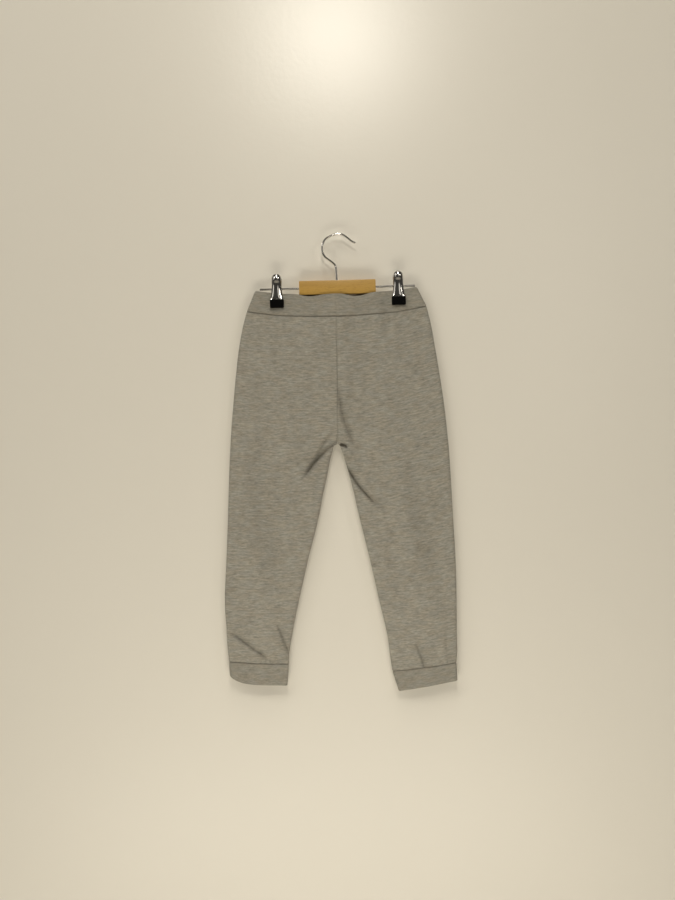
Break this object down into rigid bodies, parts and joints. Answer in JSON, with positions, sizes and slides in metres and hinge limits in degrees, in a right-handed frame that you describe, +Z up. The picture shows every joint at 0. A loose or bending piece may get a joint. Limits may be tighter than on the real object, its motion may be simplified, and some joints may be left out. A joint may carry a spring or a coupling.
{
  "type": "jogger sweatpants on clip hanger",
  "caption": "Child's jogger sweatpants in grey melange jersey with a ribbed elastic waistband and ankle cuffs, hung flat from a wooden-plated wire hanger by metal clips.",
  "frame": {"origin": "where the hanger is held: the inside of the hook's top, on the middle plane of the garment", "axes": "+Z up, -Y towards the front of the sweatpants, +X to the right as seen from the front"},
  "size_m": [0.3479, 0.0228, 0.6892],
  "materials": {
    "jersey": "grey melange sweat jersey with a soft matt face",
    "rib": "grey melange fine rib, folded double",
    "chrome": "polished plate",
    "wood": "pale lacquered wood with a satin face",
    "rubber": "matt black"
  },
  "bodies": {
    "root": {"front_left": "jersey", "back_left": "jersey", "cuff_left": "rib", "front_right": "jersey", "back_right": "jersey", "cuff_right": "rib", "waistband": "rib", "hanger_hook": "chrome", "hanger_plate": "wood", "hanger_bar": "chrome", "clip_left_front": "chrome", "boot_left_front": "rubber", "clip_left_back": "chrome", "boot_left_back": "rubber", "spring_left": "chrome", "clip_right_front": "chrome", "boot_right_front": "rubber", "clip_right_back": "chrome", "boot_right_back": "rubber", "spring_right": "chrome"}
  },
  "joints": []
}
